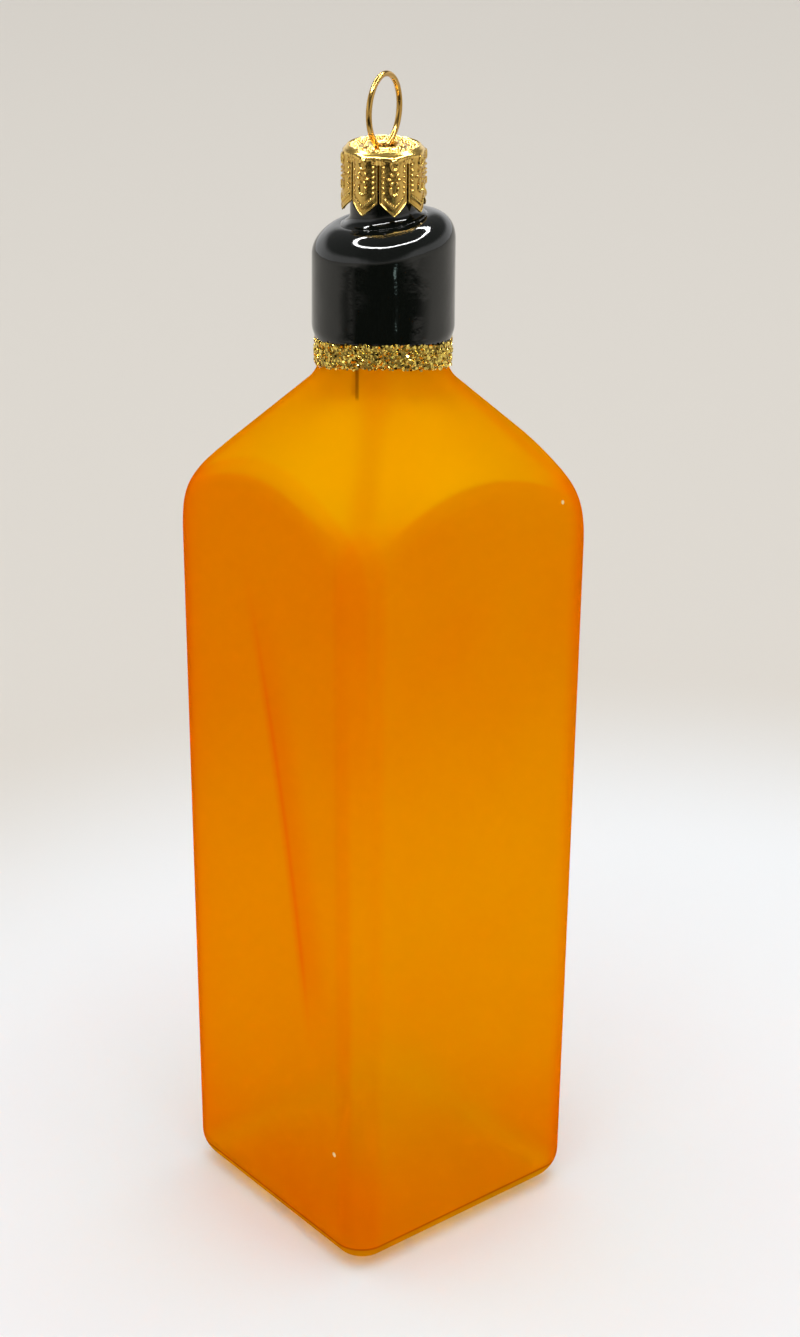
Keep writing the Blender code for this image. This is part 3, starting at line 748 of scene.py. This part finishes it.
class ORNAMENT_OT_glitter_band(bpy.types.Operator):
    """Builds the glue ring and scatters the glitter flakes over it"""

    bl_idname = "ornament.glitter_band"
    bl_label = "Glitter Band"

    def glue(self, form, s):
        """A ring whose back follows the neck and whose face swells by 0.35 + 0.4 sin(pi t)."""
        t = np.linspace(0, 1, 15)[:, None]
        height = band_edge(form, s, form.angles) + s.width * t
        reach = form.neck_reach(height, s.gap)
        back = form.rings(reach, height)
        front = form.rings(reach + s.thickness * (0.35 + 0.4 * np.sin(math.pi * t)), height)
        walk = np.concatenate([front, back[::-1]])
        rows, columns = walk.shape[:2]
        around = np.concatenate([walk, walk[:1]])
        return walk, grid_quads(len(around), columns) % (rows * columns)

    def flakes(self, form, s):
        """Hexagonal prisms on the neck, each tilted at random, as centre + r (u cos a + v sin a).

        They lie on the glue's crowned face, a little over its edges, and on the lacquer at its top.
        """
        random = np.random.default_rng(SEED)
        count = s.flake_count
        frayed, tilted, at_lacquer, on_lacquer = 0.03, 0.42, 0.94, 0.75
        deepest, highest, smallest, largest = -0.5, 0.35, 0.65, 1.25
        angle = random.uniform(0, math.tau, count)
        across = random.uniform(-frayed, 1 + frayed, count) + random.normal(0, frayed, count)
        height = band_edge(form, s, angle) + s.width * across
        crowned = 0.35 + 0.5 * np.sin(math.pi * np.clip(across, 0, 1))
        out = s.gap + s.thickness * np.where(across > at_lacquer, on_lacquer, crowned)
        sunk = random.uniform(deepest, highest, count) * 2 * s.flake_radius
        reach = form.neck_reach(height, 0) + out + sunk
        level = np.stack([np.cos(angle), np.sin(angle), np.zeros(count)], axis=1)
        centre = level * reach[:, None] + height[:, None] * UP
        normal = unit(level + random.normal(0, tilted, (count, 3)))
        u = unit(np.cross(normal, random.normal(0, 1, (count, 3))))
        v = np.cross(normal, u)
        radius = s.flake_radius * random.uniform(smallest, largest, count)
        corner = np.arange(6) * math.tau / 6
        flat = u[:, None] * np.cos(corner)[:, None] + v[:, None] * np.sin(corner)[:, None]
        hexagon = centre[:, None] + radius[:, None, None] * flat
        half = normal[:, None] * s.flake_thickness / 2
        points = np.concatenate([hexagon - half, hexagon + half], axis=1)
        side = np.arange(6)
        start = np.arange(count)[:, None, None] * 12
        sides = (start + grid_quads(2, 6)).reshape(-1, 4)
        ends = (start + np.array([side[::-1], side + 6])).reshape(-1, 6)
        return points, [*sides.tolist(), *ends.tolist()]

    def execute(self, context):
        form = GlassForm(context.scene)
        s = context.scene.ornament_glitter
        walk, quads = self.glue(form, s)
        ring = add_piece("glitter_glue_ring", walk, quads, finished(glitter_glue, s), "glass")
        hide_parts("glitter_band")
        points, faces = self.flakes(form, s)
        scattered = add_piece("glitter_flakes", points, faces, finished(gold_glitter, s), "glass")
        scattered.data.shade_flat()
        return {"FINISHED"}


def dome(distance, radius):
    """A raised bead: 1 in its middle and 0 from its radius on, as (1 - (d / r)^2) squared."""
    return np.clip(1 - (distance / radius) ** 2, 0, 1) ** 2


def prong_relief(x, y, half_width, straight, point, grown):
    """Stamped ornament of one prong, from 0 to 1, at x across it and y under its top.

    A border line and rows of beads run round it. Down its middle stand a drop, a flower of six
    leaves and a cup, a common pattern of such caps. Each form is drawn wider by what is grown.
    """
    slope = math.atan2(point, half_width)
    to_side = half_width - np.abs(x)
    to_point = (straight + point * (1 - np.abs(x) / half_width) - y) * math.cos(slope)
    side_pitch, point_pitch = 0.62, 0.4
    down = (y + 0.08) % side_pitch - side_pitch / 2
    along = np.abs(x) / math.cos(slope) % point_pitch - point_pitch / 2
    drop, flower, cup = 1.2, 2.85, 4.3
    off_cup = np.where(y > cup, np.hypot(x, y - cup), np.abs(x))
    parts = [
        dome(np.minimum(to_side, to_point) - 0.1, 0.14 + grown) * 0.6,
        dome(np.hypot(to_side - 0.52, down), 0.21 + grown) * (to_point > 1.25),
        dome(np.hypot(to_point - 0.85, along), 0.27 + grown) * (to_side > 0.45),
        dome(np.hypot(x, (y - drop) / 1.35) - 0.4, 0.17 + grown),
        dome(off_cup - 0.46, 0.17 + grown) * (y > 3.85 - grown),
    ]
    leaf_middle, leaf_stretch, leaf_radius = 0.62, 1.9, 0.19
    for turned in np.radians([35, 92, 148, -35, -92, -148]):
        out = x * math.sin(turned) - (y - flower) * math.cos(turned) - leaf_middle
        side = x * math.cos(turned) + (y - flower) * math.sin(turned)
        parts.append(dome(np.hypot(out / leaf_stretch, side), leaf_radius + grown))
    return np.max(np.stack(np.broadcast_arrays(*parts)), axis=0)


def disc_relief(angle, radius, grown):
    """Stamped ornament of the disc: a collar round the eyelet, rings of knobs and a rim line."""
    parts = [dome(radius - 1.9, 0.75 + grown) * 0.7, dome(radius - 4.3, 0.26 + grown) * 0.8]
    for count, ring, size in ((11, 2.15, 0.5), (19, 3.3, 0.42), (26, 3.85, 0.3)):
        around = (angle * count / math.tau + ring) % 1 - 0.5
        parts.append(dome(np.hypot(radius - ring, around * ring * math.tau / count), size + grown))
    return np.max(np.stack(np.broadcast_arrays(*parts)), axis=0)


class ORNAMENT_OT_crown_cap(bpy.types.Operator):
    """Builds the stamped crown: a disc with an eyelet, and pointed prongs with ornament"""

    bl_idname = "ornament.crown_cap"
    bl_label = "Crown Cap"
    columns = 46
    rows = 86
    # The plain rim's drop and width, and how far the painted shade in the hollow reaches round
    # raised work
    rim_drop, rim_width, hollow_width = 0.45, 0.6, 0.14

    def ornament(self, s, angle, x, r, z, grown=0):
        """Stamped relief, from 0 to 1, on the prongs and inside the rim, all in millimetres."""
        x, r, y = x / MILLIMETRE, r / MILLIMETRE, (CROWN_TOP - z) / MILLIMETRE
        point = s.point_length / MILLIMETRE
        straight = (CROWN_TOP - CROWN_LOW.z) / MILLIMETRE - point
        prongs = prong_relief(x, y, x.max(), straight, point, grown) * (y > self.rim_drop)
        return np.where(r < r.max() - self.rim_width, disc_relief(angle, r, grown), prongs)

    def execute(self, context):
        """Rings of a turned sheet with slits, moved out along its normal by its ornament.

        With t from 0 in a prong's middle to 1 at its edges, its lower edge lies point_length * t
        over its tip, and it bows in by bow * t^2.
        """
        s = context.scene.ornament_crown
        radius = CROWN_HIGH.x
        pitch = math.tau / s.prongs
        half_prong = (pitch - s.slit_width / radius) / 2
        off = np.linspace(-half_prong, half_prong, self.columns + 1)
        angle = (s.turned + (np.arange(s.prongs)[:, None] + 0.5) * pitch + off).ravel()
        across = np.tile(np.abs(off) / half_prong, s.prongs)
        slit_top = CROWN_TOP - s.slit_drop
        disc = turned_outline(
            [
                Corner(s.eyelet_radius, CROWN_TOP, 0, 1, 1),
                Corner(radius, CROWN_TOP, s.rim_rounding, 8, 32),
                Corner(radius, slit_top, 0, 1, 5),
            ]
        )
        tip = CROWN_LOW.z + s.point_length * across
        down = np.linspace(0, 1, self.rows + 1)[1:, None]
        r = np.concatenate([disc[:, :1] + 0 * angle, radius + 0 * down * angle])
        z = np.concatenate([disc[:, 1:] + 0 * angle, slit_top + (tip - slit_top) * down])
        run_r, run_z = np.gradient(r, axis=0), np.gradient(z, axis=0)
        run = np.hypot(run_r, run_z)
        places = angle, np.tile(off, s.prongs) * radius, r, z
        raised = self.ornament(s, *places)
        hollow = self.ornament(s, *places, self.hollow_width) - raised
        bow_depth = 1.5 * MILLIMETRE
        bowed = s.bow * across**2 * smooth_step((CROWN_TOP - z) / bow_depth)
        inside_rim = z > CROWN_TOP - self.rim_drop * MILLIMETRE
        height = raised * np.where(inside_rim, s.disc_relief, s.relief)
        r, z = r - run_z / run * height - bowed, z + run_r / run * height
        points = np.stack([r * np.cos(angle), r * np.sin(angle), z], axis=-1)
        quads = grid_quads(len(points), len(angle))
        row, column = quads[:, 0] // len(angle), quads[:, 0] % len(angle)
        in_slit = (column % (self.columns + 1) == self.columns) & (row >= len(disc) - 1)
        finish = finished(stamped_brass, s)
        made = add_piece("stamped_crown", points, quads[~in_slit][:, ::-1], finish, "cap")
        # Painted light and shade: plain sheet is 0.6 bright, raised work a painted highlight, the
        # hollow round it painted shade
        bright = np.clip(0.6 + 0.4 * raised - 0.85 * hollow, 0, 1)
        relief = made.data.attributes.new("relief", "FLOAT", "POINT")
        relief.data.foreach_set("value", bright.astype(np.float32).ravel())
        thick = made.modifiers.new("sheet", "SOLIDIFY")
        thick.thickness = s.sheet
        thick.offset = -1
        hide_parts("crown_cap")
        return {"FINISHED"}


def hanger_path(scene):
    """The wire's centre line as sideways places and heights: leg tip, pike, loop, pike, leg tip.

    The loop is a circle drawn out in height. Its feet run off at a tangent found on that circle.
    """
    s, form = scene.ornament_wire, GlassForm(scene)
    centre = CROWN_TOP + s.loop_rise
    rise_on_circle = s.loop_rise * s.loop_half_width / s.loop_half_height
    foot_distance = math.hypot(s.foot_half_spacing, rise_on_circle)
    start = math.atan2(-rise_on_circle, s.foot_half_spacing)
    start += math.acos(s.loop_half_width / foot_distance)
    angles = np.linspace(start, math.pi / 2, 40)
    sideways, heights = s.loop_half_width * np.cos(angles), s.loop_half_height * np.sin(angles)
    half_loop = np.stack([sideways, centre + heights], axis=1)
    bore, neck = form.s.pike_radius - form.s.wall, form.s.neck_radius - form.s.wall
    foot_rounding = 1.5 * MILLIMETRE
    leg = turned_outline(
        [
            Corner(neck - s.leg_play, form.neck_foot - s.leg_overhang, 0, 1, 1),
            Corner(bore - s.radius - s.leg_play, form.bulb_top, s.leg_bend, 16, 20),
            Corner(s.foot_half_spacing, CROWN_TOP, foot_rounding, 6, 10),
            Corner(*half_loop[0], 0, 1, 3),
        ]
    )
    right = np.concatenate([leg, half_loop[1:]])
    return np.concatenate([right, right[-2::-1] * (-1, 1)])


class ORNAMENT_OT_wire_hanger(bpy.types.Operator):
    """Builds the hanger, one length of round wire that lies in an upright plane"""

    bl_idname = "ornament.wire_hanger"
    bl_label = "Wire Hanger"
    sides = 16

    def execute(self, context):
        """Rings of radius * (side cos a + square_to sin a) along the path, with rounded ends."""
        s = context.scene.ornament_wire
        path = hanger_path(context.scene)
        plane = np.array([math.cos(s.turned), math.sin(s.turned), 0])
        square_to = np.array([-math.sin(s.turned), math.cos(s.turned), 0])
        line = path[:, :1] * plane + path[:, 1:] * UP
        way = unit(np.gradient(line, axis=0))
        around = np.linspace(0, math.tau, self.sides, endpoint=False)[:, None]
        ring = np.cross(way, square_to)[:, None] * np.cos(around) + square_to * np.sin(around)
        # Each end is rounded off by a point and two rings before the path's full ring
        beyond, taper = np.array([0.6, 0.45, 0.0])[:, None], np.array([0.0, 0.7, 1.0])
        start, end = line[0] - way[0] * s.radius * beyond, line[-1] + way[-1] * s.radius * beyond
        centres = np.concatenate([start, line[1:-1], end[::-1]])
        rings = np.concatenate([ring[:1]] * 3 + [ring[1:-1]] + [ring[-1:]] * 3)
        sizes = np.concatenate([taper, np.ones(len(line) - 2), taper[::-1]]) * s.radius
        tube = (centres[:, None] + rings * sizes[:, None, None])[1:-1]
        rows, columns = tube.shape[:2]
        count, first_ring = rows * columns, np.arange(columns)
        points = np.vstack([tube.reshape(-1, 3), centres[:1], centres[-1:]])
        ends = back_fan(first_ring, count) + fan(count - columns + first_ring, count + 1)
        faces = grid_quads(rows, columns).tolist() + ends
        made = add_piece("wire_hanger", points, faces, finished(gilt_spring_wire, s), "hanger")
        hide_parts("hanger_loop", "spring_leg_front", "spring_leg_back")
        return {"FINISHED"}


# Stage


def studio_paper(node, s):
    """Matt white paper with a painted pool of light, a little greyer outside it, and a painted
    cooler tint right round the object, against the orange light that the glass casts.

    Far away the camera sees it fade into the backdrop's colour, so that no horizon shows. The
    distances are in metres.
    """
    place_on = node("TexCoord").outputs["Object"]
    out = node("length", place_on)
    # Painted cooler tint right round the object, then a painted pool of light
    near = node("tint", node("eased", out, 0.028, 0.06), s.floor_under, s.floor_near)
    off_pool = node("eased", node("distance", place_on, s.pool_middle), 0.115, 0.195)
    paper = node("BsdfDiffuse", Color=node("tint", off_pool, near, s.floor_far))
    seen = node("LightPath").outputs["Is Camera Ray"]
    backdrop = node("Emission", Color=s.floor_far, Strength=1.0)
    return node("MixShader", share_of(node, seen, (out, 0.7, 1.8)), paper, backdrop)


def black_card(node, towards, low, high):
    """Black cloth, narrower above, that thins out to its edges and in its folds."""
    place_on = node("TexCoord").outputs["Object"]
    outward = node("direction", node("stretch", place_on, (1, 1, 0)))
    ahead = node("reach", outward, towards)
    narrow = node("eased", ahead, 0.68, 0.95)
    spread = node("difference", node("eased", ahead, 0.05, 0.65), narrow)
    folds = node("TexNoise", node("stretch", place_on, (9, 9, 130)), Scale=1.0, Detail=1.0)
    thick = node("most", node("eased", folds, 0.68, 0.38), node("eased", ahead, 0.5, 0.75))
    height = node("SeparateXYZ", place_on).outputs["Z"]
    lower = share_of(node, spread, thick, (height, 0.092, 0.074))
    below_top = (height, high, low + 0.7 * (high - low))
    shown = share_of(node, node("sum", lower, narrow), below_top)
    return node("MixShader", shown, node("BsdfTransparent"), node("BsdfDiffuse", linear("#101010")))


def add_floor(s):
    """A round floor: rings of radius floor_radius * t^2 about the object."""
    rings, spokes = 24, 96
    t = np.linspace(0, 1, rings)[1:, None]
    angles = np.linspace(0, math.tau, spokes, endpoint=False)
    radius = s.floor_radius * t * t + 0 * angles
    points = np.stack([radius * np.cos(angles), radius * np.sin(angles), 0 * radius], axis=-1)
    rows, columns = points.shape[:2]
    points = np.vstack([points.reshape(-1, 3), [(0, 0, 0)]])
    faces = [*grid_quads(rows, columns)[:, ::-1].tolist(), *fan(np.arange(columns), rows * columns)]
    add_object("studio_floor", points, faces, finished(studio_paper, s))


def only_in_gloss(made):
    """Shows a lamp or a card to glossy surfaces alone."""
    made.visible_camera = False
    made.visible_diffuse = False
    made.visible_transmission = False


def add_lamp(name, brightness, position, size, aim=(0, 0, 0.08)):
    """An area lamp that faces its aim. Its power is brightness * pi * area."""
    lamp = bpy.data.lights.new(name, "AREA")
    lamp.energy = brightness * math.pi * size[0] * size[1]
    lamp.shape = "RECTANGLE"
    lamp.size, lamp.size_y = size
    made = bpy.data.objects.new(name, lamp)
    bpy.context.scene.collection.objects.link(made)
    turned = (Vector(aim) - Vector(position)).to_track_quat("-Z", "Y").to_matrix().to_4x4()
    made.matrix_world = Matrix.Translation(position) @ turned
    made.visible_camera = False
    return made


def add_ring_of_tubes(s):
    """Short straight tubes in a ring overhead. Only glossy surfaces take their light."""
    tubes, radius, height, width = 16, 0.24, 0.46, 0.033
    size = (width, 2 * radius * math.sin(math.pi / tubes))
    for k in range(tubes):
        angle = k * math.tau / tubes
        position = (radius * math.cos(angle), radius * math.sin(angle), height)
        tube = add_lamp(f"ring_tube_{k + 1}", s.ring_light, position, size)
        tube.matrix_world = Matrix.Translation(position) @ Matrix.Rotation(angle, 4, "Z")
        only_in_gloss(tube)


def add_flag(s):
    """A curved black cloth on the camera's side, which only glossy surfaces reflect.

    It is part of a cylinder, radius * (cos a, sin a), with a to either side of the camera.
    """
    radius, low, high, half_turn = 0.2, 0.002, 0.13, math.radians(85)
    towards = math.atan2(s.camera_place[1], s.camera_place[0])
    a = towards + half_turn * np.linspace(-1, 1, 33)[None, :]
    z = np.array([low, high])[:, None]
    points = np.stack([radius * np.cos(a) + 0 * z, radius * np.sin(a) + 0 * z, z + 0 * a], axis=-1)
    cloth = finished(black_card, (math.cos(towards), math.sin(towards), 0.0), low, high)
    made = add_object("black_flag", points, grid_quads(2, a.size, closed=False), cloth)
    only_in_gloss(made)
    made.visible_shadow = False


def add_window_strip(s):
    """A narrow window to the camera's right. Only glossy surfaces take its light."""
    away = math.atan2(s.camera_place[1], s.camera_place[0]) + s.window_turn
    distance, height, size, bulb_height = 0.19, 0.083, (0.011, 0.0068), 0.127
    position = (distance * math.cos(away), distance * math.sin(away), height)
    strip = add_lamp("window_strip", s.window_light, position, size, (0, 0, bulb_height))
    strip.data.color = s.window_tint
    only_in_gloss(strip)


def add_room(s):
    """A light tent of white cloth, which the glass shows as plain white.

    Glossy surfaces reflect its bright walls, dim ceiling and the dark opening on the camera's side.
    The camera sees the floor's far colour beyond the floor.
    """
    world = bpy.data.worlds.new("light_tent")
    bpy.context.scene.world = world
    world.use_nodes = True
    world.node_tree.nodes.clear()
    node = partial(add_node, world.node_tree)
    way = node("TexCoord").outputs["Generated"]
    opening = node("eased", node("reach", way, Vector(s.camera_place).normalized()), 0.62, 0.88)
    walls = node("eased", node("SeparateXYZ", way).outputs["Z"], 0.42, 0.2)
    room = node("product_plus", walls, s.wall_light - s.ceiling_light, s.ceiling_light)
    glossy = node("product_plus", opening, node("difference", s.opening_light, room), room)
    path = node("LightPath").outputs
    changed = node("difference", glossy, s.tent_light)
    cloth = node("product_plus", changed, path["Is Glossy Ray"], s.tent_light)
    brightness = node("product_plus", path["Is Transmission Ray"], 1.0 - s.tent_light, cloth)
    light = node("Background", (1.0, 1.0, 1.0), brightness)
    seen = node("Background", s.floor_far, 1.0)
    node("OutputWorld", node("MixShader", path["Is Camera Ray"], light, seen))


def add_camera(s):
    """The camera where the photographer stood."""
    camera = bpy.data.cameras.new("camera")
    camera.lens = s.focal_length
    made = bpy.data.objects.new("camera", camera)
    bpy.context.scene.collection.objects.link(made)
    looked = Matrix.Rotation(s.camera_heading, 4, "Z")
    looked @= Matrix.Rotation(math.pi / 2 - s.camera_pitch, 4, "X")
    looked @= Matrix.Rotation(s.camera_roll, 4, "Z")
    made.matrix_world = Matrix.Translation(s.camera_place) @ looked
    bpy.context.scene.camera = made


class ORNAMENT_OT_studio(bpy.types.Operator):
    """Lays the floor and sets the lamps, the room and the camera"""

    bl_idname = "ornament.studio"
    bl_label = "Studio"

    def execute(self, context):
        s = context.scene.ornament_studio
        add_floor(s)
        add_room(s)
        softbox = add_lamp("top_softbox", s.top_light, (0.2, -0.1, 2.0), (1.87, 1.87))
        softbox.visible_glossy = False
        add_ring_of_tubes(s)
        add_flag(s)
        add_window_strip(s)
        add_camera(s)
        context.scene.view_settings.view_transform = "Standard"
        return {"FINISHED"}


class ORNAMENT_PT_pieces(bpy.types.Panel):
    """Lists the ornament's pieces and their settings"""

    bl_idname = "ORNAMENT_PT_pieces"
    bl_label = "Bottle Ornament"
    bl_space_type = "VIEW_3D"
    bl_region_type = "UI"
    bl_category = "Ornament"

    def draw(self, context):
        for operator, group in PIECES:
            box = self.layout.box()
            box.operator(operator.bl_idname)
            settings = getattr(context.scene, group)
            for name in settings.__annotations__:
                box.prop(settings, name)


SETTINGS = {
    "ornament_glass": GlassSettings,
    "ornament_lacquer": LacquerSettings,
    "ornament_glitter": GlitterSettings,
    "ornament_crown": CrownSettings,
    "ornament_wire": WireSettings,
    "ornament_studio": StudioSettings,
}
PIECES = [
    (ORNAMENT_OT_blown_glass, "ornament_glass"),
    (ORNAMENT_OT_black_lacquer, "ornament_lacquer"),
    (ORNAMENT_OT_glitter_band, "ornament_glitter"),
    (ORNAMENT_OT_crown_cap, "ornament_crown"),
    (ORNAMENT_OT_wire_hanger, "ornament_wire"),
    (ORNAMENT_OT_studio, "ornament_studio"),
]
CLASSES = [*SETTINGS.values(), *(operator for operator, _ in PIECES), ORNAMENT_PT_pieces]


def register():
    for made in CLASSES:
        bpy.utils.register_class(made)
    for name, group in SETTINGS.items():
        setattr(bpy.types.Scene, name, PointerProperty(type=group))


def unregister():
    for name in SETTINGS:
        delattr(bpy.types.Scene, name)
    for made in reversed(CLASSES):
        bpy.utils.unregister_class(made)


def main():
    register()
    bpy.ops.ornament.blown_glass()
    bpy.ops.ornament.black_lacquer()
    bpy.ops.ornament.glitter_band()
    bpy.ops.ornament.crown_cap()
    bpy.ops.ornament.wire_hanger()
    bpy.ops.ornament.studio()


if __name__ == "__main__":
    main()
